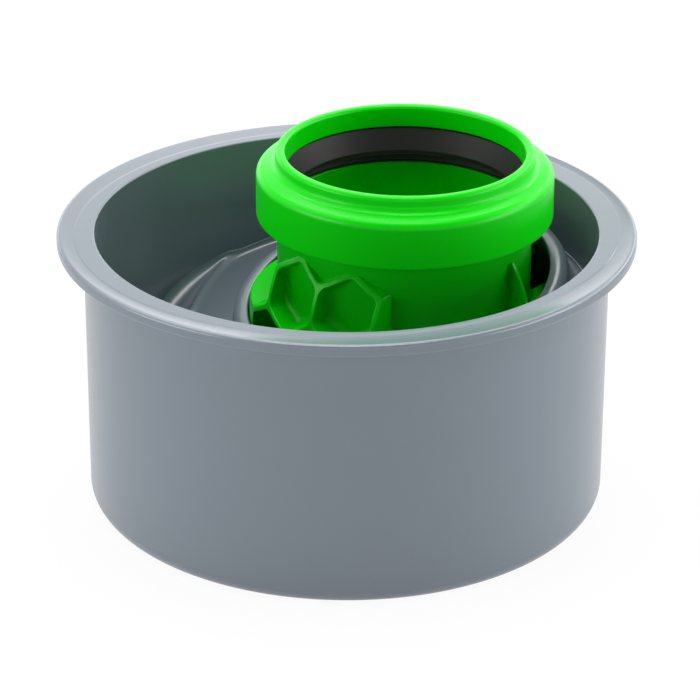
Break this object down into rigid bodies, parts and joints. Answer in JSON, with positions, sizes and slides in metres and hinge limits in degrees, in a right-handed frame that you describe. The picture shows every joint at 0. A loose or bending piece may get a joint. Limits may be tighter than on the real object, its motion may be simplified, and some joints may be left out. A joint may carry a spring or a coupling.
{
  "type": "adjustable pipe reducer",
  "caption": "Grey pipe spigot with a rim and a leaning seat, in which a green small-pipe socket with a honeycombed ball swivels to take up a tilt or an offset.",
  "frame": {"origin": "on the axis of the spigot, in the plane of its insertion end", "axes": "+Z along the spigot's axis, up out of the drain towards the small pipe; +X towards the side on which the seat is offset; +Y completes the right-handed frame"},
  "size_m": [0.121, 0.121, 0.0735],
  "materials": {
    "spigot_body": "satin moulded grey polypropylene",
    "ball_seal": "matte black rubber",
    "swivel_socket": "glossy moulded green polypropylene",
    "pipe_seal": "satin black rubber"
  },
  "bodies": {
    "body": {"spigot_body": "spigot_body"},
    "seat_ring": {"ball_seal": "ball_seal"},
    "socket": {"swivel_socket": "swivel_socket", "pipe_seal": "pipe_seal"}
  },
  "joints": [
    {"name": "seat_turn", "type": "hinge", "parent": "body", "child": "seat_ring", "pos_m": [0.015, 0, 0.0366], "axis": [-0.23, 0, 0.9732], "continuous": true},
    {"name": "socket_tilt", "type": "hinge", "parent": "seat_ring", "child": "socket", "pos_m": [0.015, 0, 0.0366], "axis": [0, 1, 0], "range_deg": [-28.3, 1.7]}
  ]
}
